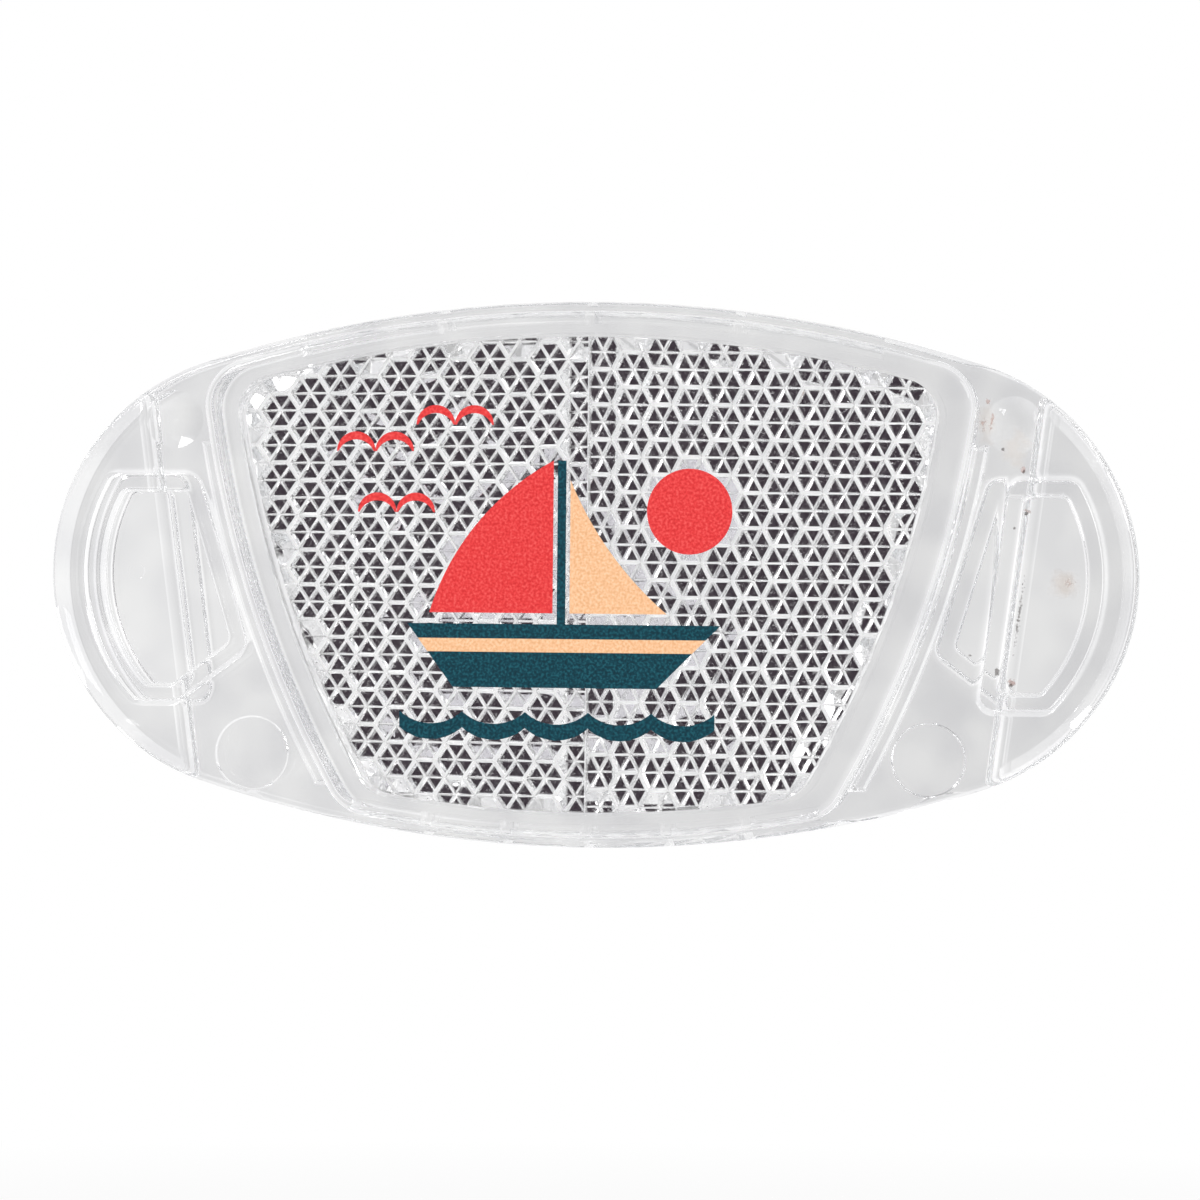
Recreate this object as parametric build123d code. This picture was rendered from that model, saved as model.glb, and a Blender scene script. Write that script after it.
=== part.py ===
from build123d import *
import math
import os

# Clear bicycle spoke reflector, in millimetres. Two alike acrylic mouldings are welded face to face.
# One half is drawn lying on the weld plane, x to the right, y up the reflector, z out of its lens.
# The finished part stands upright: +X right, +Z up the wheel's radius, lens of the front half on -Y.

# Oval outline
LENGTH = 90.0
HEIGHT = 44.9
LONG_ARC_RADIUS = 105.0

# Thickness of one half, out from the weld plane
LENS_RISE = 5.2
EAR_RISE = 3.1
EAR_EDGE_RADIUS = 0.6

# Raised lens block, wider at the rim side of the wheel, with bowed sides
EAR_WIDTH = 16.15
SIDE_LEAN = 16.9
SIDE_BOW_RADIUS = 90.0
LENS_STEP = 0.8
LENS_CORNER_RADIUS = 4.0
LENS_EDGE_RADIUS = 0.9

# Hollow behind the lens
LENS_WALL = 2.5
HOLLOW_WALL = 2.6
HOLLOW_CORNER_RADIUS = 3.2

# Corner cube field on the hollow's ceiling, in a left and a right zone
CELL_ACROSS_FLATS = 2.88
APEX_GAP = 0.4
ROOT_STEP = 0.15
FIELD_SIDE_MARGIN = 0.7
FIELD_EDGE_MARGIN = 0.3
FIELD_CORNER_RADIUS = 3.0
ZONE_SPLIT = 0.0
ZONE_GAP = 0.1
LEFT_ZONE_CELL = (-20.9, 16.28)
RIGHT_ZONE_CELL = (8.5, 16.9)

# Spoke slot and channel in each ear
SPOKE_DIAMETER = 2.0
SPOKE_CLEARANCE = 0.05
SPOKE_FROM_TIP = 9.1
SPOKE_LEAN = 7.5
SLOT_WIDTH = 1.9
LEAD_IN_WIDTH = 1.3
LEAD_IN_ANGLE = 60.0

# Windows in the ears: the wide one goes through its half, the narrow one has a thin floor
WINDOW_RIM = 2.95
WINDOW_TOP = 7.95
WINDOW_BOTTOM = -10.7
WINDOW_LEDGE = 1.35
WINDOW_RECESS = 1.0
WINDOW_CORNER_RADIUS = 1.1
WINDOW_EDGE_RADIUS = 0.75
HOLE_CORNER_RADIUS = 0.7
HOLE_EDGE_RADIUS = 0.5
WIDE_WINDOW_WALL = 1.52
WIDE_WINDOW_CORNER = -6.2
WIDE_WINDOW_SILL = 3.1
NARROW_WINDOW_FLOOR = 0.6
LIP_WIDTH = 1.3

# Weld tongue on one side of the lens and its groove on the other
TONGUE_WIDTH = 1.1
TONGUE_HEIGHT = 0.9
TONGUE_DRAFT = 17.0
TONGUE_TOP = 10.7
TONGUE_BOTTOM = -17.5
TONGUE_FROM_LENS = 0.1
GROOVE_CLEARANCE = 0.15

# Core pockets in the top and bottom edges
POCKET_SKIN = 0.75
POCKET_WIDTH = 1.1
POCKET_DEPTH = 2.5
POCKET_RIB = 0.8
TOP_POCKET_PITCH = 12.2
TOP_POCKETS = 4
BOTTOM_POCKET_PITCH = 6.6
BOTTOM_POCKETS = 6

# Round ejector marks on one ear: a flat lower one with a sloped rim, and a dished upper one
LOWER_MARK = (-27.9, -15.0)
LOWER_MARK_RADIUS = 3.1
LOWER_MARK_DEPTH = 0.15
UPPER_MARK = (-34.65, 12.6)
UPPER_MARK_RADIUS = 2.4
UPPER_MARK_DEPTH = 0.5

# Trimmed moulding gate on the narrow window's floor
GATE_FROM_TIP = 6.2
GATE_RADIUS = 0.7
GATE_HEIGHT = 0.15

# Ink printed on the front lens: a sailing boat under a sun, with gulls
INK_THICKNESS = 0.05
INK_STANDOFF = 0.01
MAST_X = -1.9
MAST_WIDTH = 0.7
INK_GAP = 0.35
SAIL_FOOT = -3.2
SAIL_HEAD = 9.3
MAIN_SAIL_FOOT_LENGTH = 10.2
MAIN_SAIL_BULGE = 1.6
FORE_SAIL_FOOT_LENGTH = 8.0
FORE_SAIL_HOLLOW = 0.8
FORE_SAIL_DROP = 1.6
HULL_TOP = -4.1
HULL_DEPTH = 5.2
HULL_DECK = (-14.6, 11.2)
HULL_KEEL = (-10.8, 6.0)
HULL_STRIPE_TOP = 1.2
HULL_STRIPE_WIDTH = 1.1
WAVE_LEVEL = -11.3
WAVE_PITCH = 5.2
WAVE_COUNT = 5
WAVE_START = -15.2
WAVE_SAG = 1.0
WAVE_WIDTH = 1.3
SUN = (8.6, 5.2)
SUN_RADIUS = 3.5
GULLS = [(-17.4, 10.0), (-10.8, 12.2), (-15.6, 5.0)]
GULL_WING_RADIUS = 1.6
GULL_WING_DROP = 0.65

# Values worked out from the sizes above
FAR = LENGTH
RIM_TOUCH = 1e-3
ARC_CENTRE = LONG_ARC_RADIUS - HEIGHT / 2
END_SPARE = LONG_ARC_RADIUS - LENGTH / 2
END_CENTRE = (ARC_CENTRE**2 - END_SPARE**2) / (2 * END_SPARE)
LENS_HALF_WIDTH = LENGTH / 2 - EAR_WIDTH
SIDE_CENTRE_X = LENS_HALF_WIDTH - SIDE_BOW_RADIUS * math.cos(math.radians(SIDE_LEAN))
SIDE_CENTRE_Y = SIDE_BOW_RADIUS * math.sin(math.radians(SIDE_LEAN))
FIELD_INSET = LENS_WALL + FIELD_SIDE_MARGIN
CELL_RADIUS = CELL_ACROSS_FLATS / math.sqrt(3)
CUBE_STEP = CELL_RADIUS / math.sqrt(2)
CEILING = APEX_GAP + 2 * CUBE_STEP + ROOT_STEP
CHANNEL_RADIUS = SPOKE_DIAMETER / 2 + SPOKE_CLEARANCE
SPOKE_OFFSET = LENGTH / 2 - SPOKE_FROM_TIP
NARROW_FLOOR_TOP = SLOT_WIDTH / 2 + NARROW_WINDOW_FLOOR


def oval(inset):
    """Outline drawn in by inset: two long arcs joined by end arcs that are tangent to them."""
    joint = Vector(END_CENTRE, ARC_CENTRE).normalized() * (LONG_ARC_RADIUS - inset)
    x, y = joint.X, joint.Y - ARC_CENTRE
    tip = LENGTH / 2 - inset
    top = HEIGHT / 2 - inset
    arcs = [
        ThreePointArc((-x, y), (0, top), (x, y)),
        ThreePointArc((x, y), (tip, 0), (x, -y)),
        ThreePointArc((x, -y), (0, -top), (-x, -y)),
        ThreePointArc((-x, -y), (-tip, 0), (-x, y)),
    ]
    return make_face(Curve() + arcs)


def rim_x(y, inset):
    """Place of the oval's right end at height y, drawn in by inset."""
    return END_CENTRE + math.sqrt((LENGTH / 2 - END_CENTRE - inset) ** 2 - y**2)


def polygon(*points):
    """Flat face with straight sides."""
    return make_face(Polyline(*points, close=True))


def side_x(y, inset):
    """Place of the lens's bowed right side at height y, drawn in by inset."""
    return SIDE_CENTRE_X + math.sqrt((SIDE_BOW_RADIUS - inset) ** 2 - (y - SIDE_CENTRE_Y) ** 2)


def side_disc(side, inset):
    """Disc whose rim is the lens's right (side 1) or left (side -1) side, drawn in by inset."""
    return Pos(side * SIDE_CENTRE_X, SIDE_CENTRE_Y) * Circle(SIDE_BOW_RADIUS - inset)


def side_tangent(y, gap):
    """Place at height y of a straight line that passes the lens's right side at a gap."""
    lean = math.radians(SIDE_LEAN)
    return LENS_HALF_WIDTH + gap / math.cos(lean) + y * math.tan(lean)


def spoke_x(y):
    """Place of the right spoke's axis at height y."""
    return SPOKE_OFFSET + y * math.tan(math.radians(SPOKE_LEAN))


def lens_outline(side_inset, edge_inset, corner_radius):
    """Tapered lens shape: bowed sides between the two long arcs, with rounded corners."""
    disc = Circle(LONG_ARC_RADIUS - edge_inset)
    band = (Pos(0, -ARC_CENTRE) * disc) & (Pos(0, ARC_CENTRE) * disc)
    outline = band & side_disc(1, side_inset) & side_disc(-1, side_inset)
    return fillet(outline.vertices(), corner_radius)


def slab(face, low, high):
    """Solid over a flat face, between two heights above the weld plane."""
    return Pos(0, 0, low) * extrude(face, high - low)


def shell_body():
    """Ear plate with its windows, and lens block with the hollow behind the lens."""
    plate = extrude(oval(0), EAR_RISE)
    plate = fillet(plate.faces().sort_by(Axis.Z)[-1].edges(), EAR_EDGE_RADIUS)
    plate = cut_window(plate, *wide_window(), -EAR_RISE)
    plate = cut_window(plate, *narrow_window(), NARROW_FLOOR_TOP)
    block = extrude(lens_outline(0, LENS_STEP, LENS_CORNER_RADIUS), LENS_RISE)
    block = fillet(block.faces().sort_by(Axis.Z)[-1].edges(), LENS_EDGE_RADIUS)
    hollow = lens_outline(LENS_WALL, HOLLOW_WALL, HOLLOW_CORNER_RADIUS)
    return plate + block - slab(hollow, 0, CEILING)


def cube_cell(x, y, turn):
    """Apex and six corners of one corner cube, seen along its diagonal as a flat-topped hexagon."""
    apex = Vector(x, y, APEX_GAP)
    corners = []
    for index in range(6):
        angle = math.radians(60 * index + turn)
        height = APEX_GAP + CUBE_STEP * (1 + index % 2)
        corners.append(Vector(x + CELL_RADIUS * math.cos(angle), y + CELL_RADIUS * math.sin(angle), height))
    return apex, corners


def zone_cells(first, low_x, high_x):
    """Centres of the cells that reach into a zone, on a hexagon grid through the first cell."""
    column_pitch = 1.5 * CELL_RADIUS
    reach_y = HEIGHT / 2 - HOLLOW_WALL - FIELD_EDGE_MARGIN + CELL_ACROSS_FLATS
    columns = math.ceil(LENGTH / column_pitch)
    rows = math.ceil(HEIGHT / CELL_ACROSS_FLATS)
    centres = []
    for column in range(-columns, columns + 1):
        x = first[0] + column * column_pitch
        if x < low_x - CELL_RADIUS or x > high_x + CELL_RADIUS:
            continue
        shift = CELL_ACROSS_FLATS / 2 * (column % 2)
        for row in range(-rows, rows + 1):
            y = first[1] + shift + row * CELL_ACROSS_FLATS
            if abs(y) < reach_y and abs(x) < side_x(y, FIELD_INSET) + 2 * CELL_RADIUS:
                centres.append((x, y))
    return centres


def cube_sheet(centres, turn, top):
    """Solid of corner cubes that hang from height top, closed round its ragged edge."""
    faces = []
    edges = {}
    for x, y in centres:
        apex, corners = cube_cell(x, y, turn)
        for index in (0, 2, 4):
            square = [apex] + [corners[(index + step) % 6] for step in range(3)]
            faces.append(Face(Wire.make_polygon(square)))
        lid = [Vector(corner.X, corner.Y, top) for corner in corners]
        faces.append(Face(Wire.make_polygon(lid)))
        for index in range(6):
            ends = (corners[index], corners[(index + 1) % 6])
            middle = (ends[0] + ends[1]) / 2
            key = (round(middle.X, 3), round(middle.Y, 3))
            edges.setdefault(key, []).append(ends)
    for uses in edges.values():
        if len(uses) == 1:
            start, end = uses[0]
            wall = [start, end, Vector(end.X, end.Y, top), Vector(start.X, start.Y, top)]
            faces.append(Face(Wire.make_polygon(wall)))
    return Solid(Shell(faces))


def cube_field():
    """Both zones of corner cubes, cut to the field's outline and set a little into the ceiling."""
    outline = lens_outline(FIELD_INSET, HOLLOW_WALL + FIELD_EDGE_MARGIN, FIELD_CORNER_RADIUS)
    top = CEILING + ROOT_STEP
    left_edge = ZONE_SPLIT - ZONE_GAP / 2
    right_edge = ZONE_SPLIT + ZONE_GAP / 2
    zones = [(LEFT_ZONE_CELL, -FAR, left_edge, 0), (RIGHT_ZONE_CELL, right_edge, FAR, 180)]
    fields = []
    for first, low_x, high_x, turn in zones:
        strip = polygon((low_x, -FAR), (high_x, -FAR), (high_x, FAR), (low_x, FAR))
        sheet = cube_sheet(zone_cells(first, low_x, high_x), turn, top)
        fields.append(sheet & slab(outline & strip, 0, top))
    return fields


def spoke_channel(side):
    """Round channel of one spoke, in the weld plane; side is 1 on the right and -1 on the left."""
    rod = Rot(0, 0, -side * SPOKE_LEAN) * Rot(90, 0, 0) * Cylinder(CHANNEL_RADIUS, 2 * HEIGHT)
    return Pos(side * SPOKE_OFFSET, 0, 0) * rod


def spoke_slot(side):
    """Slot that lets a spoke in from the ear's end to its channel, with a sloped lead-in."""
    points = [(spoke_x(HEIGHT), HEIGHT), (FAR, HEIGHT), (FAR, -HEIGHT), (spoke_x(-HEIGHT), -HEIGHT)]
    region = polygon(*[(side * x, y) for x, y in points])
    half_slot = SLOT_WIDTH / 2
    lead_rise = 2 * LEAD_IN_WIDTH / math.tan(math.radians(LEAD_IN_ANGLE))
    kept = Pos(0, 0, half_slot) * extrude(oval(LEAD_IN_WIDTH), lead_rise, taper=-LEAD_IN_ANGLE)
    return slab(region, -half_slot, half_slot) + (slab(region, half_slot, half_slot + lead_rise) - kept)


def wide_window():
    """Left window: its inner side runs along the lens, with a slanted foot."""
    points = [
        (-FAR, WINDOW_TOP),
        (-side_tangent(WINDOW_TOP, WIDE_WINDOW_WALL), WINDOW_TOP),
        (-side_tangent(WIDE_WINDOW_CORNER, WIDE_WINDOW_WALL), WIDE_WINDOW_CORNER),
        (WIDE_WINDOW_SILL - rim_x(WINDOW_BOTTOM, WINDOW_RIM), WINDOW_BOTTOM),
        (-FAR, WINDOW_BOTTOM),
    ]
    recess = polygon(*points) & oval(WINDOW_RIM)
    return recess, offset(recess, -WINDOW_LEDGE)


def spoke_edge(distance):
    """Area of the right ear beyond a line that runs beside the spoke, on its lens side."""
    back = distance / math.cos(math.radians(SPOKE_LEAN))
    points = [
        (spoke_x(WINDOW_TOP) - back, WINDOW_TOP),
        (FAR, WINDOW_TOP),
        (FAR, WINDOW_BOTTOM),
        (spoke_x(WINDOW_BOTTOM) - back, WINDOW_BOTTOM),
    ]
    return polygon(*points)


def narrow_window():
    """Right window: its inner side is the lip beside the spoke."""
    recess = spoke_edge(CHANNEL_RADIUS + LIP_WIDTH) & oval(WINDOW_RIM)
    return recess, offset(recess, -WINDOW_LEDGE)


def round_rim(body, outline, height, radius):
    """Rounds the edges of a cut where its outline opens at a height."""
    mouth = Pos(0, 0, height) * outline
    level = body.edges().filter_by_position(Axis.Z, height, height)
    return fillet([edge for edge in level if mouth.distance_to(edge @ 0.5) < RIM_TOUCH], radius)


def cut_window(plate, recess, hole, floor):
    """Sinks a window's recess into the ear's outer face, and its hole down to the height floor."""
    ledge = EAR_RISE - WINDOW_RECESS
    recess = fillet(recess.vertices(), WINDOW_CORNER_RADIUS)
    hole = fillet(hole.vertices(), HOLE_CORNER_RADIUS)
    plate = round_rim(plate - slab(recess, ledge, LENS_RISE), recess, EAR_RISE, WINDOW_EDGE_RADIUS)
    return round_rim(plate - slab(hole, floor, LENS_RISE), hole, ledge, HOLE_EDGE_RADIUS)


def weld_strip(side, clearance):
    """Plan of the weld tongue beside the lens, grown by a clearance for its groove."""
    near = TONGUE_FROM_LENS - clearance
    far = TONGUE_FROM_LENS + TONGUE_WIDTH + clearance
    ring = side_disc(side, -far) - side_disc(side, -near)
    height = TONGUE_TOP - TONGUE_BOTTOM + 2 * clearance
    return ring & (Pos(side * FAR / 2, (TONGUE_TOP + TONGUE_BOTTOM) / 2) * Rectangle(FAR, height))


def ejector_marks():
    """Shallow prints of the two ejector pins in the left ear's outer face."""
    sloped = Cone(LOWER_MARK_RADIUS - LOWER_MARK_DEPTH, LOWER_MARK_RADIUS, LOWER_MARK_DEPTH)
    ball_radius = (UPPER_MARK_RADIUS**2 + UPPER_MARK_DEPTH**2) / (2 * UPPER_MARK_DEPTH)
    floor = EAR_RISE - UPPER_MARK_DEPTH
    ball = Pos(*UPPER_MARK, floor + ball_radius) * Sphere(ball_radius)
    dished = ball & slab(Pos(*UPPER_MARK) * Circle(UPPER_MARK_RADIUS), floor, EAR_RISE)
    return [Pos(*LOWER_MARK, EAR_RISE - LOWER_MARK_DEPTH / 2) * sloped, dished]


def edge_pockets(side, pitch, count):
    """Row of core pockets along the top (side 1) or bottom (side -1) edge."""
    band = oval(POCKET_SKIN) - oval(POCKET_SKIN + POCKET_WIDTH)
    pockets = []
    for index in range(count):
        x = (index - (count - 1) / 2) * pitch
        window = Pos(x, side * HEIGHT / 2) * Rectangle(pitch - POCKET_RIB, HEIGHT / 2)
        pockets.append(slab(band & window, 0, POCKET_DEPTH))
    return pockets


def half():
    """One moulding, lens up on the weld plane."""
    body = shell_body()
    for side in (-1, 1):
        body = body - spoke_slot(side) - spoke_channel(side)
    gate = Pos(LENGTH / 2 - GATE_FROM_TIP, 0) * Circle(GATE_RADIUS)
    body = body + slab(gate, NARROW_FLOOR_TOP, NARROW_FLOOR_TOP + GATE_HEIGHT)
    body = body + extrude(weld_strip(1, 0), TONGUE_HEIGHT, dir=(0, 0, -1), taper=TONGUE_DRAFT)
    groove_depth = TONGUE_HEIGHT + GROOVE_CLEARANCE
    body = body - extrude(weld_strip(-1, GROOVE_CLEARANCE), groove_depth, dir=(0, 0, 1), taper=TONGUE_DRAFT)
    for pocket in edge_pockets(1, TOP_POCKET_PITCH, TOP_POCKETS):
        body = body - pocket
    for pocket in edge_pockets(-1, BOTTOM_POCKET_PITCH, BOTTOM_POCKETS):
        body = body - pocket
    for mark in ejector_marks():
        body = body - mark
    for field in cube_field():
        body = body + field
    return body


def bowed(start, end, bulge):
    """Arc from start to end that stands off its chord to the left by bulge."""
    start, end = Vector(*start), Vector(*end)
    across = (end - start).normalized().rotate(Axis.Z, 90)
    return ThreePointArc(start, (start + end) / 2 + across * bulge, end)


def sail(tack, foot_length, head, bulge):
    """Three-cornered sail with an upright edge at the tack and a bowed outer edge."""
    corner = (tack + foot_length, SAIL_FOOT)
    sides = [Line((tack, head), (tack, SAIL_FOOT)), Line((tack, SAIL_FOOT), corner)]
    return make_face(Curve() + sides + [bowed(corner, (tack, head), bulge)])


def hull():
    """Boat's side, and the stripe along it."""
    keel = HULL_TOP - HULL_DEPTH
    deck_ends = [(x, HULL_TOP) for x in HULL_DECK]
    keel_ends = [(x, keel) for x in reversed(HULL_KEEL)]
    side = polygon(*deck_ends, *keel_ends)
    level = HULL_TOP - HULL_STRIPE_TOP - HULL_STRIPE_WIDTH / 2
    stripe = side & (Pos(0, level) * Rectangle(FAR, HULL_STRIPE_WIDTH))
    return side - stripe, stripe


def waves():
    """Scalloped band of water under the boat."""
    upper, lower = [], []
    for index in range(WAVE_COUNT):
        left, right = WAVE_START + index * WAVE_PITCH, WAVE_START + (index + 1) * WAVE_PITCH
        upper.append(bowed((left, WAVE_LEVEL), (right, WAVE_LEVEL), -WAVE_SAG))
        lower.append(bowed((left, WAVE_LEVEL - WAVE_WIDTH), (right, WAVE_LEVEL - WAVE_WIDTH), -WAVE_SAG))
    ends = []
    for x in (WAVE_START, WAVE_START + WAVE_COUNT * WAVE_PITCH):
        ends.append(Line((x, WAVE_LEVEL), (x, WAVE_LEVEL - WAVE_WIDTH)))
    return make_face(Curve() + upper + lower + ends)


def gull(x, y):
    """Flying gull: two crescent wings that meet in the middle."""
    wing = Circle(GULL_WING_RADIUS) - Pos(0, -GULL_WING_DROP) * Circle(GULL_WING_RADIUS)
    wing = wing & (Pos(0, GULL_WING_RADIUS) * Rectangle(4 * GULL_WING_RADIUS, 2 * GULL_WING_RADIUS))
    return [Pos(x + side * GULL_WING_RADIUS, y) * wing for side in (-1, 1)]


def print_fields():
    """Faces of the printed motif, by ink."""
    aft, fore = MAST_X - MAST_WIDTH / 2 - INK_GAP, MAST_X + MAST_WIDTH / 2 + INK_GAP
    main_sail = sail(aft, -MAIN_SAIL_FOOT_LENGTH, SAIL_HEAD, MAIN_SAIL_BULGE)
    fore_sail = sail(fore, FORE_SAIL_FOOT_LENGTH, SAIL_HEAD - FORE_SAIL_DROP, FORE_SAIL_HOLLOW)
    mast_height = SAIL_HEAD - HULL_TOP
    mast = Pos(MAST_X, HULL_TOP + mast_height / 2) * Rectangle(MAST_WIDTH, mast_height)
    side, stripe = hull()
    gull_wings = [wing for place in GULLS for wing in gull(*place)]
    sun = Pos(*SUN) * Circle(SUN_RADIUS)
    return {
        "print_red": [main_sail, sun] + gull_wings,
        "print_teal": [mast + side, waves()],
        "print_peach": [fore_sail, stripe],
    }


UPRIGHT = Rot(90, 0, 0)
front_half = half()
nodes = {
    "front_half": UPRIGHT * front_half,
    "rear_half": UPRIGHT * Rot(0, 180, 0) * front_half,
}
for ink, fields in print_fields().items():
    base = LENS_RISE + INK_STANDOFF
    films = [slab(field, base, base + INK_THICKNESS) for field in fields]
    nodes[ink] = UPRIGHT * Compound(children=films)

os.makedirs("parts", exist_ok=True)
for name, shape in nodes.items():
    export_step(shape, f"parts/{name}.step")
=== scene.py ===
"""Looks of a clear bicycle spoke reflector: two welded acrylic mouldings with a small printed motif."""

import logging
import math
import random
from dataclasses import dataclass
from enum import Enum

import bmesh
import bpy
from mathutils import Euler, Matrix, Vector


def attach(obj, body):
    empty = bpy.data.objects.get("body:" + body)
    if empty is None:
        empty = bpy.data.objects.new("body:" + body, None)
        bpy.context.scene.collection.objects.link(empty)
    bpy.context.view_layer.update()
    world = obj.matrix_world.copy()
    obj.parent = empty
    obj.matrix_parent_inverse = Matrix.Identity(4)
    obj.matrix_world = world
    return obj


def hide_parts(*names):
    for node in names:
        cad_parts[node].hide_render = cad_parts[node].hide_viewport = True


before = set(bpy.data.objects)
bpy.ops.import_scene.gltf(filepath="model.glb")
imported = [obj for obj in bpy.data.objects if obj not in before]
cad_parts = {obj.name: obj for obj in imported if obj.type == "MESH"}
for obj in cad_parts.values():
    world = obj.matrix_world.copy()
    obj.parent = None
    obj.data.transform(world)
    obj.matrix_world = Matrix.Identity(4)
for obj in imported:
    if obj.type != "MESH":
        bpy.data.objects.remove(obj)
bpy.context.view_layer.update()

MM = 0.001
BODY = "root"
WHITE = "#FFFFFF"
LOG = logging.getLogger("spoke_reflector")


def linear(code: str) -> tuple[float, float, float, float]:
    """Turns an sRGB hex colour into linear RGBA.

    Args:
        code: Colour as "#RRGGBB".

    Returns:
        Linear red, green and blue, with an alpha of 1.
    """
    channels = [int(code[start:start + 2], 16) / 255 for start in (1, 3, 5)]
    values = [c / 12.92 if c <= 0.04045 else ((c + 0.055) / 1.055) ** 2.4 for c in channels]
    return (*values, 1.0)


def add_node(tree: bpy.types.NodeTree, kind: str, inputs: dict | None = None, **settings) -> bpy.types.Node:
    """Adds a shader node with its settings and links.

    Args:
        tree: Node tree that gets the node.
        kind: Node type, without its ShaderNode prefix.
        inputs: Value, or output socket to link, for each input by name or index.
        settings: Attributes of the node.

    Returns:
        The new node.
    """
    node = tree.nodes.new("ShaderNode" + kind)
    for name, value in settings.items():
        setattr(node, name, value)
    for name, value in (inputs or {}).items():
        if isinstance(value, bpy.types.NodeSocket):
            tree.links.new(value, node.inputs[name])
        else:
            node.inputs[name].default_value = value
    return node


def empty_material(name: str) -> bpy.types.Material:
    """Makes a material whose node tree holds nothing yet.

    Args:
        name: Name of the material.

    Returns:
        The new material.
    """
    material = bpy.data.materials.new(name)
    material.use_nodes = True
    material.node_tree.nodes.clear()
    return material


class CubeEdge(Enum):
    """Edges of the corner cubes, by where they run."""

    LEVEL = "level edge from a cube's tip"
    RISING = "rising edge from a cube's tip"
    FALLING = "falling edge from a cube's tip"
    BORDER = "edge between two cells"
    OUTLINE = "edge along the field's outline"


@dataclass(frozen=True)
class Stain:
    """Patch of rust or dirt on an ear: an ellipse that fine grain breaks up, more so where it is faint."""

    x_mm: float
    z_mm: float
    half_width_mm: float
    half_height_mm: float
    strength: float
    lean_deg: float = 0.0


@dataclass(frozen=True)
class Soil:
    """Stains of one kind: their colour, how much they hide, and the grain that breaks them up."""

    colour: str
    cover: float
    grain_mm: float
    raggedness: float
    stains: tuple[Stain, ...]


# Rust that water has carried: a pale, yellowish bloom that the plastic shows through.
RUST_WASH = Soil(colour="#DBB07E", cover=0.18, grain_mm=0.9, raggedness=1.1, stains=(
    Stain(32.6, 12.6, 1.3, 2.6, 0.8),
    Stain(35.0, 10.6, 2.6, 3.2, 0.6),
    Stain(39.0, -0.4, 2.2, 1.9, 0.7, 30.0),
))

# Rust flecks: orange-brown spots and streaks with ragged rims.
RUST_FLECKS = Soil(colour="#A5532F", cover=0.5, grain_mm=0.25, raggedness=2.2, stains=(
    Stain(33.0, 12.7, 0.18, 1.2, 0.8, 8.0),
    Stain(32.3, 12.5, 0.5, 1.3, 0.5),
    Stain(32.7, 14.4, 0.25, 0.22, 0.9),
    Stain(35.6, 8.8, 0.28, 0.34, 1.0),
    Stain(35.9, 5.5, 0.3, 0.25, 0.8),
    Stain(34.8, -8.5, 0.45, 0.36, 0.8),
    Stain(39.3, -0.3, 1.0, 1.0, 0.35, 30.0),
))

# Grit: nearly black specks, and a broken dark line of dirt along the spoke channel.
DARK_SPECKS = Soil(colour="#3A2A24", cover=0.75, grain_mm=0.22, raggedness=2.0, stains=(
    Stain(35.65, 8.7, 0.12, 0.16, 1.3),
    Stain(33.95, 10.5, 0.13, 0.13, 1.3),
    Stain(35.8, 5.3, 0.14, 0.12, 1.2),
    Stain(34.9, 4.1, 0.12, 0.12, 1.1),
    Stain(33.6, -7.6, 0.17, 0.38, 1.2),
    Stain(34.7, -8.7, 0.2, 0.16, 1.1),
    Stain(31.5, -6.3, 0.22, 0.15, 0.9),
    Stain(35.3, -3.0, 0.35, 6.0, 0.42, 7.5),
))


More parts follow.
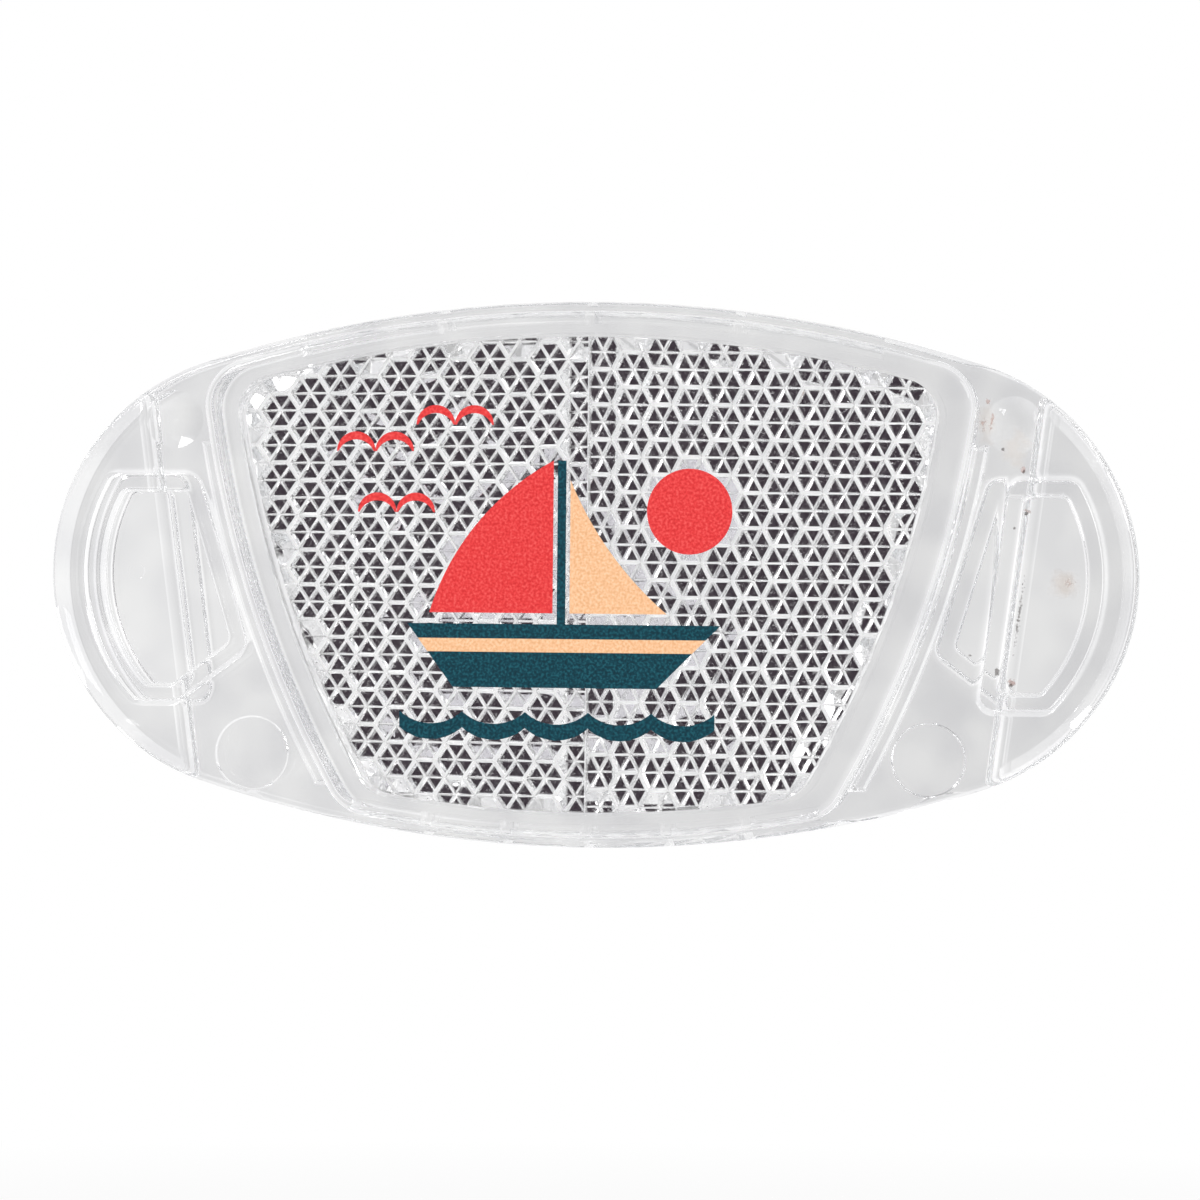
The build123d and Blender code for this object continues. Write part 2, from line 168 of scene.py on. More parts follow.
@dataclass(frozen=True)
class ClearAcrylic:
    """Clear acrylic, injection moulded: bright, hard gloss, with a faint ripple from the mould's polish.

    The specks are dust far finer than their 0.35 mm, drawn as coarse as they need to show.
    """

    name: str
    colour: str
    roughness: float
    transmission: float = 1.0
    ior: float = 1.49
    ripple_mm: float = 4.5
    ripple_depth_mm: float = 0.0
    ripple_detail: float = 0.0
    haze_colour: str = ""
    haze_mm: float = 4.5
    haze_detail: float = 1.0
    haze_span: tuple[float, float] = (0.35, 0.65)
    speck_mm: float = 0.35
    speck_roughness: float = 0.0
    speck_detail: float = 1.0
    speck_span: tuple[float, float] = (0.60, 0.72)
    soils: tuple[Soil, ...] = ()
    soil_roughness: float = 0.7
    soil_detail: float = 2.0
    soil_span: tuple[float, float] = (0.1, 0.5)
    soil_from_mm: float = 0.3

    def material(self) -> bpy.types.Material:
        """Makes the material.

        Returns:
            A refracting surface, with what the finish asks for of ripple, haze, specks and stains.
        """
        material = empty_material(self.name)
        tree = material.node_tree
        place = add_node(tree, "TexCoord").outputs["Object"]
        surface = add_node(tree, "BsdfPrincipled", {
            "Base Color": linear(self.colour),
            "Roughness": self.roughness,
            "IOR": self.ior,
            "Transmission Weight": self.transmission,
        })
        if self.ripple_depth_mm:
            self.lay_ripple(tree, place, surface)
        if self.haze_colour:
            self.lay_haze(tree, place, surface)
        if self.speck_roughness:
            self.lay_specks(tree, place, surface)
        for soil in self.soils:
            self.lay_soil(tree, place, surface, soil)
        add_node(tree, "OutputMaterial", {"Surface": surface.outputs["BSDF"]})
        return material

    def lay_ripple(self, tree: bpy.types.NodeTree, place: bpy.types.NodeSocket,
                   surface: bpy.types.Node) -> None:
        """Ripples the surface as the mould's hand polish does.

        Args:
            tree: Node tree of the material.
            place: Object coordinates.
            surface: Shader of the surface.
        """
        swell = add_node(tree, "TexNoise", {
            "Vector": place, "Scale": 1 / (self.ripple_mm * MM), "Detail": self.ripple_detail,
        })
        bump = add_node(tree, "Bump", {
            "Height": swell.outputs["Fac"], "Distance": self.ripple_depth_mm * MM, "Strength": 1.0,
        })
        tree.links.new(bump.outputs["Normal"], surface.inputs["Normal"])

    def lay_haze(self, tree: bpy.types.NodeTree, place: bpy.types.NodeSocket,
                 surface: bpy.types.Node) -> None:
        """Greys the surface a little in soft patches.

        Args:
            tree: Node tree of the material.
            place: Object coordinates.
            surface: Shader of the surface.
        """
        cloud = add_node(tree, "TexNoise", {
            "Vector": place, "Scale": 1 / (self.haze_mm * MM), "Detail": self.haze_detail,
        })
        patches = add_node(tree, "MapRange", {
            "Value": cloud.outputs["Fac"], "From Min": self.haze_span[0], "From Max": self.haze_span[1],
        })
        hazy = add_node(tree, "Mix", {
            "Factor": patches.outputs["Result"], "A": linear(self.colour), "B": linear(self.haze_colour),
        }, data_type="RGBA")
        tree.links.new(hazy.outputs["Result"], surface.inputs["Base Color"])

    def lay_specks(self, tree: bpy.types.NodeTree, place: bpy.types.NodeSocket,
                   surface: bpy.types.Node) -> None:
        """Dulls the surface in small specks.

        Args:
            tree: Node tree of the material.
            place: Object coordinates.
            surface: Shader of the surface.
        """
        dust = add_node(tree, "TexNoise", {
            "Vector": place, "Scale": 1 / (self.speck_mm * MM), "Detail": self.speck_detail,
        })
        specks = add_node(tree, "MapRange", {
            "Value": dust.outputs["Fac"], "From Min": self.speck_span[0], "From Max": self.speck_span[1],
            "To Min": self.roughness, "To Max": self.speck_roughness,
        })
        tree.links.new(specks.outputs["Result"], surface.inputs["Roughness"])

    def lay_soil(self, tree: bpy.types.NodeTree, place: bpy.types.NodeSocket, surface: bpy.types.Node,
                 soil: Soil) -> None:
        """Lays stains of one kind over what the surface has so far.

        Args:
            tree: Node tree of the material.
            place: Object coordinates.
            surface: Shader of the surface.
            soil: Stains to lay.
        """
        mask = self.soil_mask(tree, place, soil)
        clean = {
            "Base Color": linear(self.colour),
            "Transmission Weight": self.transmission,
            "Roughness": self.roughness,
        }
        for name in clean:
            if surface.inputs[name].links:
                clean[name] = surface.inputs[name].links[0].from_socket
        soiled = add_node(tree, "Mix", {"Factor": mask, "A": clean["Base Color"], "B": linear(soil.colour)},
                          data_type="RGBA")
        clear = add_node(tree, "Mix", {"Factor": mask, "A": clean["Transmission Weight"], "B": 0.0})
        rough = add_node(tree, "Mix", {"Factor": mask, "A": clean["Roughness"], "B": self.soil_roughness})
        tree.links.new(soiled.outputs["Result"], surface.inputs["Base Color"])
        tree.links.new(clear.outputs["Result"], surface.inputs["Transmission Weight"])
        tree.links.new(rough.outputs["Result"], surface.inputs["Roughness"])

    def soil_mask(self, tree: bpy.types.NodeTree, place: bpy.types.NodeSocket,
                  soil: Soil) -> bpy.types.NodeSocket:
        """Works out how much of a soil lies at a place.

        Args:
            tree: Node tree of the material.
            place: Object coordinates.
            soil: Stains to look for.

        Returns:
            Cover from 0 to the soil's own, and 0 on the weld face.
        """
        deepest = None
        for stain in soil.stains:
            turned = add_node(tree, "Mapping", {
                "Vector": place,
                "Location": (stain.x_mm * MM, 0.0, stain.z_mm * MM),
                "Rotation": (0.0, math.radians(stain.lean_deg), 0.0),
                "Scale": (stain.half_width_mm * MM, 1.0, stain.half_height_mm * MM),
            }, vector_type="TEXTURE")
            reach = add_node(tree, "VectorMath", {0: turned.outputs["Vector"]}, operation="LENGTH")
            depth = add_node(tree, "Math", {0: stain.strength, 1: reach.outputs["Value"]},
                             operation="SUBTRACT")
            if deepest is not None:
                depth = add_node(tree, "Math", {0: deepest, 1: depth.outputs["Value"]}, operation="MAXIMUM")
            deepest = depth.outputs["Value"]
        grit = add_node(tree, "TexNoise", {
            "Vector": place, "Scale": 1 / (soil.grain_mm * MM), "Detail": self.soil_detail,
        })
        grain = add_node(tree, "Math", {0: grit.outputs["Fac"], 1: 0.5}, operation="SUBTRACT")
        ragged = add_node(tree, "Math", {0: grain.outputs["Value"], 1: soil.raggedness, 2: deepest},
                          operation="MULTIPLY_ADD")
        cover = add_node(tree, "MapRange", {
            "Value": ragged.outputs["Value"],
            "From Min": self.soil_span[0], "From Max": self.soil_span[1], "To Max": soil.cover,
        })
        parts = add_node(tree, "SeparateXYZ", {"Vector": place})
        outside = add_node(tree, "Math", {0: parts.outputs["Y"], 1: -self.soil_from_mm * MM},
                           operation="LESS_THAN")
        mask = add_node(tree, "Math", {0: cover.outputs["Result"], 1: outside.outputs["Value"]},
                        operation="MULTIPLY")
        return mask.outputs["Value"]


@dataclass(frozen=True)
class InkFilm:
    """Opaque ink, pad printed on the lens: flat colour with a fine grain, and a white under-coat behind,
    whose face towards the lens glows with painted light.
    """

    name: str
    colour: str
    light_grain: str
    dark_grain: str
    under_coat: str = "#F1EFF4"
    # Painted light: how strongly the under-coat glows where it faces the lens, in place of light that comes
    # through the ink.
    painted_glow_through: float = 0.5
    grain_mm: float = 0.22
    grain_detail: float = 1.0
    grain_depth_mm: float = 0.02
    grain_strength: float = 0.5
    grain_stops: tuple[float, float, float] = (0.32, 0.5, 0.70)
    roughness: float = 0.6
    specular: float = 0.2

    def material(self) -> bpy.types.Material:
        """Makes the material.

        Returns:
            A grainy surface that is white where it faces the lens, and glows there with painted light.
        """
        material = empty_material(self.name)
        tree = material.node_tree
        place = add_node(tree, "TexCoord")
        grain = add_node(tree, "TexNoise", {
            "Vector": place.outputs["Object"], "Scale": 1 / (self.grain_mm * MM), "Detail": self.grain_detail,
        })
        ramp = add_node(tree, "ValToRGB", {"Fac": grain.outputs["Fac"]})
        stops = ramp.color_ramp.elements
        stops[0].position, stops[1].position = self.grain_stops[0], self.grain_stops[2]
        stops[0].color, stops[1].color = linear(self.dark_grain), linear(self.light_grain)
        stops.new(self.grain_stops[1]).color = linear(self.colour)
        facing = add_node(tree, "NewGeometry")
        parts = add_node(tree, "SeparateXYZ", {"Vector": facing.outputs["Normal"]})
        behind = add_node(tree, "Math", {0: parts.outputs["Y"], 1: 0.5}, operation="GREATER_THAN")
        colour = add_node(tree, "Mix", {
            "Factor": behind.outputs["Value"], "A": ramp.outputs["Color"], "B": linear(self.under_coat),
        }, data_type="RGBA")
        bump = add_node(tree, "Bump", {
            "Height": grain.outputs["Fac"],
            "Distance": self.grain_depth_mm * MM,
            "Strength": self.grain_strength,
        })
        # Painted light: the face towards the lens glows in the under-coat's colour, though it is no lamp.
        painted_glow = add_node(tree, "Math", {0: behind.outputs["Value"], 1: self.painted_glow_through},
                          operation="MULTIPLY")
        surface = add_node(tree, "BsdfPrincipled", {
            "Base Color": colour.outputs["Result"],
            "Roughness": self.roughness,
            "Specular IOR Level": self.specular,
            "Normal": bump.outputs["Normal"],
            "Emission Color": linear(self.under_coat),
            "Emission Strength": painted_glow.outputs["Value"],
        })
        add_node(tree, "OutputMaterial", {"Surface": surface.outputs["BSDF"]})
        return material


@dataclass
class Moulding:
    """One welded half: lens, corner cubes and two ears, with the lands that a mould leaves at cube edges."""

    node: str
    piece: str
    inward: float
    soiled: bool = False
    soiled_from_mm: float = 27.0
    weld_gap_mm: float = 0.005
    join_mm: float = 0.001
    level_land_mm: float = 0.11
    rising_land_mm: float = 0.25
    falling_land_mm: float = 0.19
    border_land_mm: float = 0.24
    outline_land_mm: float = 0.1
    land_spread: float = 0.12
    cube_reach_mm: float = 3.2
    cube_slope_slack: float = 0.004
    flat_bend: float = 0.02
    level_slant_deg: float = 20.0
    seed: int = 7

    def build(self) -> bpy.types.Object:
        """Copies the half's solid and works the lands into its corner cubes.

        Returns:
            The piece, in place of the half's CAD node.
        """
        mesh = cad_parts[self.node].data.copy()
        mesh.name = self.piece
        mesh.materials.clear()
        for finish in Finish:
            mesh.materials.append(bpy.data.materials[finish.value.name])
        self.keep_normals(mesh)
        solid = bmesh.new()
        solid.from_mesh(mesh)
        bmesh.ops.remove_doubles(solid, verts=solid.verts, dist=self.join_mm * MM)
        facets = self.facets(solid)
        flat = [e for e in solid.edges if self.inside(e, facets) and e.calc_face_angle() < self.flat_bend]
        bmesh.ops.dissolve_edges(solid, edges=flat, use_verts=False)
        self.open_weld(solid)
        cubes = self.round_cubes(solid)
        if self.soiled:
            self.soil(solid)
        solid.to_mesh(mesh)
        solid.free()
        self.use_normals(mesh)
        piece = bpy.data.objects.new(self.piece, mesh)
        bpy.context.scene.collection.objects.link(piece)
        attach(piece, BODY)
        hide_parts(self.node)
        LOG.info("%s: %d cube faces, %d faces", piece.name, cubes, len(mesh.polygons))
        return piece

    @staticmethod
    def keep_normals(mesh: bpy.types.Mesh) -> None:
        """Stores the CAD surface's own normals with the mesh.

        Args:
            mesh: Mesh as it comes from the frame.
        """
        kept = mesh.attributes.new("cad_normal", "FLOAT_VECTOR", "CORNER")
        for slot, corner in zip(kept.data, mesh.corner_normals):
            slot.vector = corner.vector

    @staticmethod
    def use_normals(mesh: bpy.types.Mesh) -> None:
        """Shades the mesh with the stored normals.

        Args:
            mesh: Finished mesh.
        """
        kept = mesh.attributes["cad_normal"]
        normals = [slot.vector.copy() for slot in kept.data]
        mesh.attributes.remove(kept)
        mesh.shade_smooth()
        mesh.normals_split_custom_set(normals)

    def soil(self, solid: bmesh.types.BMesh) -> None:
        """Gives the right ear the finish with the rust flecks.

        Args:
            solid: Mesh of the half.
        """
        for face in solid.faces:
            if face.calc_center_median().x > self.soiled_from_mm * MM:
                face.material_index = FINISH_ORDER.index(Finish.SOILED)

    def facets(self, solid: bmesh.types.BMesh) -> set[bmesh.types.BMFace]:
        """Finds the faces of the corner cubes, which all slope alike against the weld plane.

        Args:
            solid: Mesh of the half.

        Returns:
            The cube faces.
        """
        slope = 1 / math.sqrt(3)
        reach = self.cube_reach_mm * MM
        found = set()
        for face in solid.faces:
            level = abs(face.normal.y * self.inward - slope) < self.cube_slope_slack
            if level and all(abs(vert.co.y) < reach for vert in face.verts):
                found.add(face)
        return found

    @staticmethod
    def inside(edge: bmesh.types.BMEdge, facets: set[bmesh.types.BMFace]) -> bool:
        """True if an edge lies between two cube faces."""
        return len(edge.link_faces) == 2 and all(face in facets for face in edge.link_faces)

    def open_weld(self, solid: bmesh.types.BMesh) -> None:
        """Draws the weld face back by a hair, so that light meets the two halves one after the other.

        Args:
            solid: Mesh of the half.
        """
        for vert in solid.verts:
            if abs(vert.co.y) < self.join_mm * MM:
                vert.co.y -= self.inward * self.weld_gap_mm * MM

    def kind_of(self, edge: bmesh.types.BMEdge, facets: set[bmesh.types.BMFace]) -> CubeEdge:
        """Tells which edge of a cube this is, from its bend and its slant.

        Args:
            edge: Edge of a cube face.
            facets: All the cube faces.

        Returns:
            The edge's kind.
        """
        if not self.inside(edge, facets):
            return CubeEdge.OUTLINE
        if not edge.is_convex:
            return CubeEdge.BORDER
        run = edge.verts[1].co - edge.verts[0].co
        slant = math.degrees(math.atan2(run.z, run.x)) % 180
        if min(slant, 180 - slant) < self.level_slant_deg:
            return CubeEdge.LEVEL
        return CubeEdge.RISING if slant < 90 else CubeEdge.FALLING

    def land_widths(self, solid: bmesh.types.BMesh,
                    facets: set[bmesh.types.BMFace]) -> dict[bmesh.types.BMEdge, float]:
        """Draws the width of the land along each edge of the cubes.

        Args:
            solid: Mesh of the half.
            facets: The cube faces.

        Returns:
            Width in metres, by edge.
        """
        draw = random.Random(self.seed)
        widths = {
            CubeEdge.LEVEL: self.level_land_mm,
            CubeEdge.RISING: self.rising_land_mm,
            CubeEdge.FALLING: self.falling_land_mm,
            CubeEdge.BORDER: self.border_land_mm,
            CubeEdge.OUTLINE: self.outline_land_mm,
        }
        lands = {}
        for edge in solid.edges:
            if any(face in facets for face in edge.link_faces):
                spread = draw.uniform(1 - self.land_spread, 1 + self.land_spread)
                lands[edge] = widths[self.kind_of(edge, facets)] * MM * spread
        return lands

    def round_cubes(self, solid: bmesh.types.BMesh) -> int:
        """Sets each cube face in from its edges, and draws tips and roots down to the lands left between.

        Args:
            solid: Mesh whose cube faces are single polygons.

        Returns:
            How many cube faces were set in.
        """
        facets = self.facets(solid)
        lands = self.land_widths(solid, facets)
        free = [v for v in solid.verts if v.link_faces and all(face in facets for face in v.link_faces)]
        drawn = {vert: [] for vert in free}
        made = []
        for face in [f for f in solid.faces if f in facets]:
            corners = self.set_in(face, lands)
            if corners is None:
                face.material_index = FINISH_ORDER.index(Finish.LAND)
                continue
            made += self.lay_face(solid, face, corners)
            for vert, corner in zip(face.verts, corners):
                if vert in drawn:
                    drawn[vert].append(corner)
            solid.faces.remove(face)
        for vert, corners in drawn.items():
            if corners:
                vert.co = sum(corners, Vector()) / len(corners)
        normals = solid.loops.layers.float_vector["cad_normal"]
        for face in made:
            face.normal_update()
            for corner in face.loops:
                corner[normals] = face.normal
        return sum(face.material_index == FINISH_ORDER.index(Finish.FACET) for face in made)

    @staticmethod
    def set_in(face: bmesh.types.BMFace, lands: dict[bmesh.types.BMEdge, float],
               least_turn: float = 0.05) -> list[Vector] | None:
        """Works out a face's corners after each side has moved in by its land.

        Args:
            face: Flat cube face.
            lands: Width of the land along each edge.
            least_turn: Sine of the turn below which two sides count as one line.

        Returns:
            The new corner beside each old one, shared where a short side has gone, or None if nothing
            is left.
        """
        loops = list(face.loops)
        runs = [(loop.link_loop_next.vert.co - loop.vert.co).normalized() for loop in loops]
        sides = [face.normal.cross(run) for run in runs]
        starts = [loop.vert.co + side * lands[loop.edge] for loop, side in zip(loops, sides)]
        kept = list(range(len(loops)))
        while len(kept) > 2:
            meets = []
            for before, after in zip(kept[-1:] + kept[:-1], kept):
                turn = runs[before].dot(sides[after])
                if abs(turn) > least_turn:
                    reach = (starts[after] - starts[before]).dot(sides[after]) / turn
                    meets.append(starts[before] + runs[before] * reach)
                else:
                    meets.append(starts[after])
            ends = meets[1:] + meets[:1]
            spans = [(end - start).dot(runs[side]) for start, end, side in zip(meets, ends, kept)]
            if min(spans) > 0:
                corners = []
                for index in range(len(loops)):
                    later = [place for place, side in enumerate(kept) if side >= index]
                    corners.append(meets[later[0] if later else 0])
                return corners
            kept.pop(spans.index(min(spans)))
        return None

    @staticmethod
    def lay_face(solid: bmesh.types.BMesh, face: bmesh.types.BMFace,
                 corners: list[Vector]) -> list[bmesh.types.BMFace]:
        """Lays a smaller cube face and the lands round it.

        Args:
            solid: Mesh that gets them.
            face: Cube face that they take the place of.
            corners: Corner of the smaller face beside each corner of the old one.

        Returns:
            The smaller face and its lands.
        """
        made_at = {}
        for corner in corners:
            if id(corner) not in made_at:
                made_at[id(corner)] = solid.verts.new(corner)
        inner = [made_at[id(corner)] for corner in corners]
        ring = [vert for index, vert in enumerate(inner) if vert is not inner[index - 1]]
        flat = solid.faces.new(ring)
        flat.material_index = FINISH_ORDER.index(Finish.FACET)
        made = [flat]
        for index, loop in enumerate(list(face.loops)):
            after = inner[(index + 1) % len(inner)]
            corner_run = [loop.vert, loop.link_loop_next.vert, after]
            if after is not inner[index]:
                corner_run.append(inner[index])
            land = solid.faces.new(corner_run)
            land.material_index = FINISH_ORDER.index(Finish.LAND)
            made.append(land)
        return made


class Finish(Enum):
    """Surfaces of the two halves, in the order of their material slots."""

    # Polished mould faces: sharp reflections, slightly wavy, with soft grey patches.
    CLEAR = ClearAcrylic("clear_acrylic_moulded", "#FDFDFD", 0.0, ripple_depth_mm=0.04, haze_colour="#F4F4F5")

    # Edges of the cubes, blunt where the mould is: they scatter light and show as white lines.
    LAND = ClearAcrylic("clear_acrylic_satin_edge", "#FFFFFF", 0.2)

    # Optical faces of the cubes: they throw the view back undimmed, apart from a few dull specks.
    FACET = ClearAcrylic("clear_acrylic_cube_face", "#F6F7F8", 0.0, speck_roughness=0.3)

    # The right ear's mould faces, with the rust and grit that a spoke left on them.
    SOILED = ClearAcrylic("clear_acrylic_moulded_rust_flecked", "#FDFDFD", 0.0, ripple_depth_mm=0.04,
                          haze_colour="#F4F4F5", soils=(RUST_WASH, RUST_FLECKS, DARK_SPECKS))


FINISH_ORDER = list(Finish)


@dataclass
class PrintedMotif:
    """Three inks printed on the front lens, each matt and opaque, with lighter and darker grains."""

    # Warm, strong red.
    red: InkFilm = InkFilm("red_ink_pad_printed", "#EA3F40", "#F25A58", "#DB3235")

    # Deep blue-green, nearly black in its dark grains.
    teal: InkFilm = InkFilm("teal_ink_pad_printed", "#043F4D", "#1A5C69", "#02303C")

    # Pale, warm peach.
    peach: InkFilm = InkFilm("peach_ink_pad_printed", "#F9C496", "#FDD3AC", "#EFB585")

    def dress(self) -> None:
        """Gives each ink's solids their finish."""
        for node, ink in (("print_red", self.red), ("print_teal", self.teal), ("print_peach", self.peach)):
            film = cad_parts[node]
            film.data.materials.clear()
            film.data.materials.append(ink.material())
            LOG.info("%s: %s", node, ink.name)


@dataclass(frozen=True)
class SoftBox:
    """Square lamp that faces the part: its name, place and side in metres, and power in watts."""

    name: str
    place: tuple[float, float, float]
    side: float
    watts: float

    def build(self) -> None:
        """Adds the lamp to the scene."""
        lamp = bpy.data.lights.new(self.name, "AREA")
        lamp.size = self.side
        lamp.energy = self.watts
        box = bpy.data.objects.new(self.name, lamp)
        box.location = self.place
        box.rotation_euler = (-Vector(self.place)).to_track_quat("-Z", "Y").to_euler()
        bpy.context.scene.collection.objects.link(box)


@dataclass
class Studio:
    """Camera, soft lights, white surroundings and a pale floor well below the part.

    The levels are brightnesses of the room where 1 is white. Many bounces are allowed, because light that
    the clear plates lead along comes out only after many of them.
    """

    camera_distance: float = 0.4
    sensor_mm: float = 36.0
    frame_width_mm: float = 99.36
    aim_right_mm: float = 0.66
    aim_down_mm: float = 2.07
    azimuth_deg: float = 7.0
    roll_deg: float = 0.55
    floor_drop: float = 0.085
    floor_radius: float = 0.4
    floor_sides: int = 96
    floor_colour: str = "#F4F4F4"
    fade_start: float = 0.12
    fade_end: float = 0.34
    front_level: float = 0.48
    side_level: float = 1.03
    back_level: float = 0.80
    dip_rim_deg: float = 20.0
    dip_floor_deg: float = 7.0
    height_dip: float = 0.2
    end_dip: float = 0.3
    end_dip_rim: float = 0.9
    left_lift: float = 0.09
    left_reach: float = 0.25
    dark_side: str = "#1D001B"
    dark_cone: float = 0.6
    cube_turns: float = 3.0
    cube_path: float = 6.0
    bounces: int = 96
    key: SoftBox = SoftBox("key_soft_box", (-0.35, -0.45, 0.45), 0.25, 1.6)
    fill: SoftBox = SoftBox("fill_soft_box", (0.45, -0.35, 0.25), 0.25, 0.65)

    def camera(self) -> None:
        """Places the camera in front, a little to the right, framed and rolled as the photograph is."""
        lens = bpy.data.cameras.new("camera")
        lens.sensor_width = self.sensor_mm
        lens.lens = self.sensor_mm * self.camera_distance / (self.frame_width_mm * MM)
        camera = bpy.data.objects.new("camera", lens)
        place = Matrix.Translation((self.aim_right_mm * MM, -self.camera_distance, -self.aim_down_mm * MM))
        turn = Euler((math.pi / 2, 0, 0)).to_matrix().to_4x4()
        roll = Matrix.Rotation(math.radians(self.roll_deg), 4, "Z")
        round_part = Matrix.Rotation(math.radians(self.azimuth_deg), 4, "Z")
        camera.matrix_world = round_part @ place @ turn @ roll
        bpy.context.scene.collection.objects.link(camera)
        bpy.context.scene.camera = camera

    def room_level(self, tree: bpy.types.NodeTree, towards: bpy.types.NodeSocket,
                   parts: bpy.types.Node) -> bpy.types.NodeSocket:
        """Works out how bright the room is in each direction.

        Args:
            tree: Node tree of the world.
            towards: Direction looked at.
            parts: The direction split into X, Y and Z.

        Returns:
            Level that is darker in front, straight behind, overhead and out past the ears, and paler on
            the left.
        """
        sides = add_node(tree, "MapRange", {
            "Value": parts.outputs["Y"], "From Min": -1.0, "From Max": 0.0,
            "To Min": self.front_level, "To Max": self.side_level,
        })
        azimuth = math.radians(self.azimuth_deg)
        along = add_node(tree, "VectorMath", {
            0: towards, 1: (-math.sin(azimuth), math.cos(azimuth), 0.0),
        }, operation="DOT_PRODUCT")
        behind = add_node(tree, "MapRange", {
            "Value": along.outputs["Value"],
            "From Min": math.cos(math.radians(self.dip_rim_deg)),
            "From Max": math.cos(math.radians(self.dip_floor_deg)),
            "To Min": 0.0, "To Max": self.side_level - self.back_level,
        }, interpolation_type="SMOOTHSTEP")
        around = add_node(tree, "Math", {0: sides.outputs["Result"], 1: behind.outputs["Result"]},
                          operation="SUBTRACT")
        upward = add_node(tree, "Math", {0: parts.outputs["Z"], 1: parts.outputs["Z"]}, operation="MULTIPLY")
        upright = add_node(tree, "Math", {
            0: upward.outputs["Value"], 1: -self.height_dip, 2: around.outputs["Value"],
        }, operation="MULTIPLY_ADD")
        leftward = add_node(tree, "MapRange", {
            "Value": parts.outputs["X"], "From Min": -self.left_reach, "From Max": 0.0,
            "To Min": self.left_lift, "To Max": 0.0,
        })
        lifted = add_node(tree, "Math", {0: upright.outputs["Value"], 1: leftward.outputs["Result"]},
                          operation="ADD")
        across = add_node(tree, "Math", {0: parts.outputs["X"]}, operation="ABSOLUTE")
        endways = add_node(tree, "MapRange", {
            "Value": across.outputs["Value"], "From Min": self.end_dip_rim, "From Max": 1.0,
            "To Min": 0.0, "To Max": self.end_dip,
        }, interpolation_type="SMOOTHSTEP")
        level = add_node(tree, "Math", {0: lifted.outputs["Value"], 1: endways.outputs["Result"]},
                         operation="SUBTRACT")
        return level.outputs["Value"]

    def cube_return(self, tree: bpy.types.NodeTree, path: bpy.types.Node,
                    parts: bpy.types.Node) -> bpy.types.NodeSocket:
        """Picks out the light that has come back from a corner cube.

        Args:
            tree: Node tree of the world.
            path: Light path.
            parts: Direction split into X, Y and Z.

        Returns:
            1 for light that three faces of a cube have turned and that leaves lengthwise, and 0 for the rest.
        """
        turned = add_node(tree, "Math", {0: path.outputs["Glossy Depth"], 1: self.cube_turns, 2: 0.5},
                          operation="COMPARE")
        straight = add_node(tree, "Math", {0: path.outputs["Ray Depth"], 1: self.cube_path, 2: 0.5},
                            operation="COMPARE")
        depth = add_node(tree, "Math", {0: parts.outputs["Y"]}, operation="ABSOLUTE")
        lengthwise = add_node(tree, "Math", {0: depth.outputs["Value"], 1: self.dark_cone},
                              operation="GREATER_THAN")
        inward = add_node(tree, "Math", {0: turned.outputs["Value"], 1: straight.outputs["Value"]},
                          operation="MULTIPLY")
        returned = add_node(tree, "Math", {0: inward.outputs["Value"], 1: lengthwise.outputs["Value"]},
                            operation="MULTIPLY")
        return returned.outputs["Value"]

    def surroundings(self) -> None:
        """Makes the pale room, white where the camera sees it, with a dark side that the cubes return."""
        world = bpy.data.worlds.new("studio")
        bpy.context.scene.world = world
        world.use_nodes = True
        tree = world.node_tree
        tree.nodes.clear()
        towards = add_node(tree, "TexCoord").outputs["Generated"]
        parts = add_node(tree, "SeparateXYZ", {"Vector": towards})
        path = add_node(tree, "LightPath")
        room = add_node(tree, "Mix", {
            "Factor": self.cube_return(tree, path, parts),
            "A": self.room_level(tree, towards, parts),
            "B": linear(self.dark_side),
        }, data_type="RGBA")
        seen = add_node(tree, "Mix", {
            "Factor": path.outputs["Is Camera Ray"], "A": room.outputs["Result"], "B": linear(WHITE),
        }, data_type="RGBA")
        light = add_node(tree, "Background", {"Color": seen.outputs["Result"], "Strength": 1.0})
        add_node(tree, "OutputWorld", {"Surface": light.outputs["Background"]})

    def floor(self) -> None:
        """Lays a pale disc below the part that fades into the white surroundings."""
        sheet = bmesh.new()
        bmesh.ops.create_circle(sheet, cap_ends=True, segments=self.floor_sides, radius=self.floor_radius)
        mesh = bpy.data.meshes.new("floor")
        sheet.to_mesh(mesh)
        sheet.free()
        mesh.materials.append(self.paper())
        disc = bpy.data.objects.new("floor", mesh)
        disc.location.z = -self.floor_drop
        bpy.context.scene.collection.objects.link(disc)

    def paper(self) -> bpy.types.Material:
        """Makes the floor's material.

        Returns:
            Matt paper that turns to plain white away from the middle.
        """
        material = empty_material("pale_paper")
        tree = material.node_tree
        place = add_node(tree, "TexCoord")
        reach = add_node(tree, "VectorMath", {0: place.outputs["Object"]}, operation="LENGTH")
        fade = add_node(tree, "MapRange", {
            "Value": reach.outputs["Value"], "From Min": self.fade_start, "From Max": self.fade_end,
        })
        sheet = add_node(tree, "BsdfDiffuse", {"Color": linear(self.floor_colour)})
        glow = add_node(tree, "Emission", {"Color": linear(WHITE), "Strength": 1.0})
        mixed = add_node(tree, "MixShader", {
            0: fade.outputs["Result"], 1: sheet.outputs["BSDF"], 2: glow.outputs["Emission"],
        })
        add_node(tree, "OutputMaterial", {"Surface": mixed.outputs["Shader"]})
        return material

    def build(self) -> None:
        """Sets up everything round the part."""
        self.camera()
        self.surroundings()
        self.floor()
        self.key.build()
        self.fill.build()
        scene = bpy.context.scene
        scene.view_settings.view_transform = "Standard"
        scene.cycles.max_bounces = self.bounces
        scene.cycles.glossy_bounces = self.bounces
        scene.cycles.transmission_bounces = self.bounces


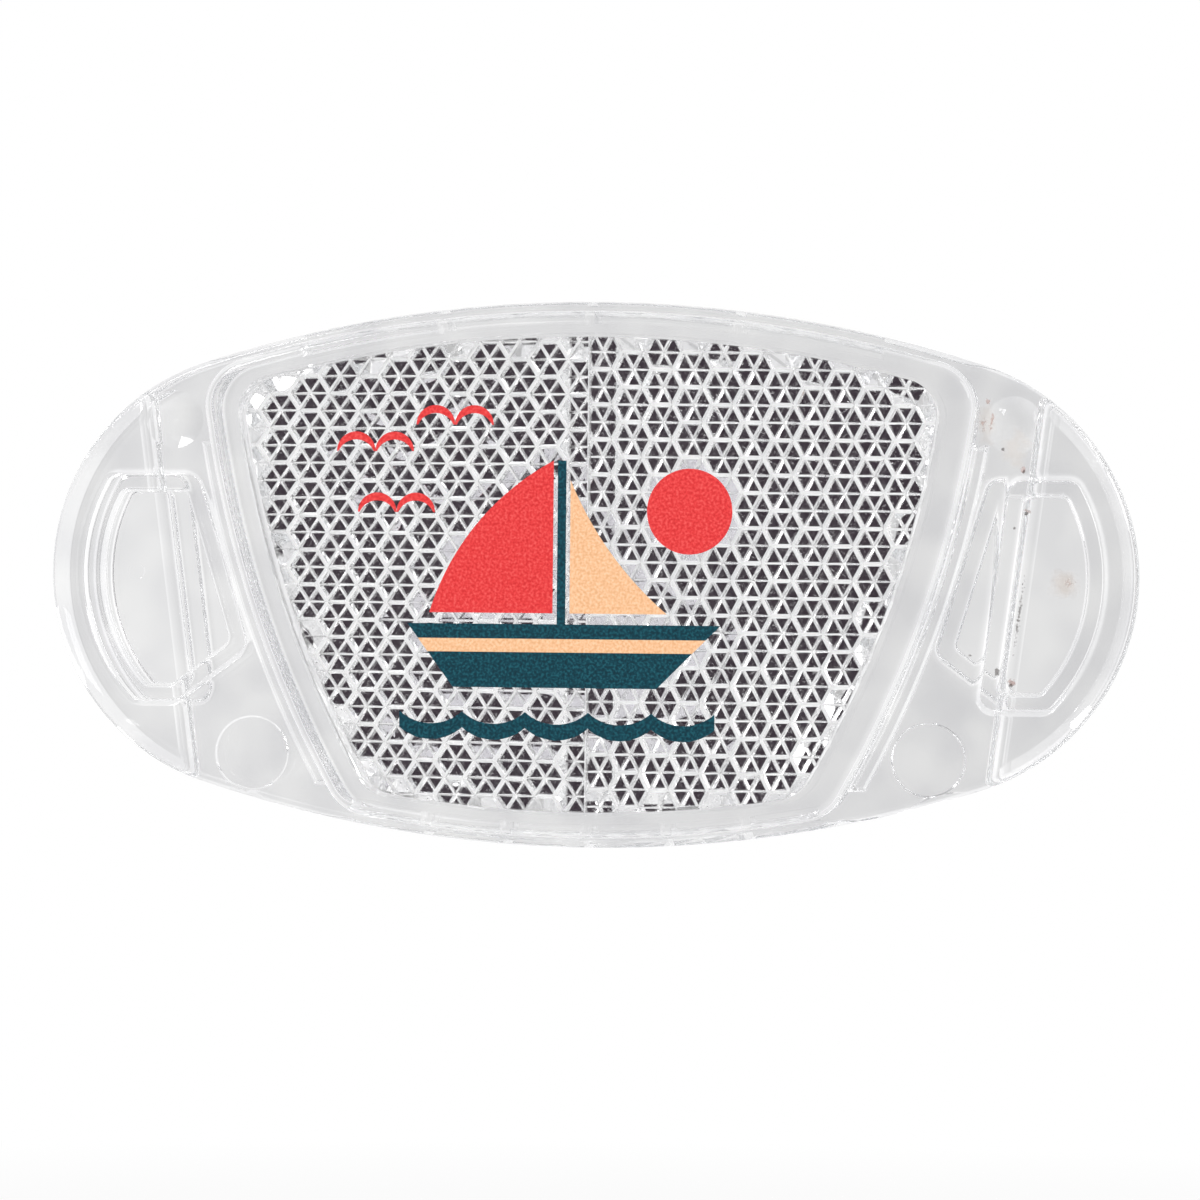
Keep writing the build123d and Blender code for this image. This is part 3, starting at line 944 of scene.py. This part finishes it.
def main() -> None:
    """Builds and dresses the part, then its studio."""
    logging.basicConfig(level=logging.INFO, format="%(name)s: %(message)s")
    for finish in Finish:
        finish.value.material()
    Moulding("front_half", "front_moulding", 1.0, soiled=True).build()
    Moulding("rear_half", "rear_moulding", -1.0).build()
    PrintedMotif().dress()
    Studio().build()


if __name__ == "__main__":
    main()
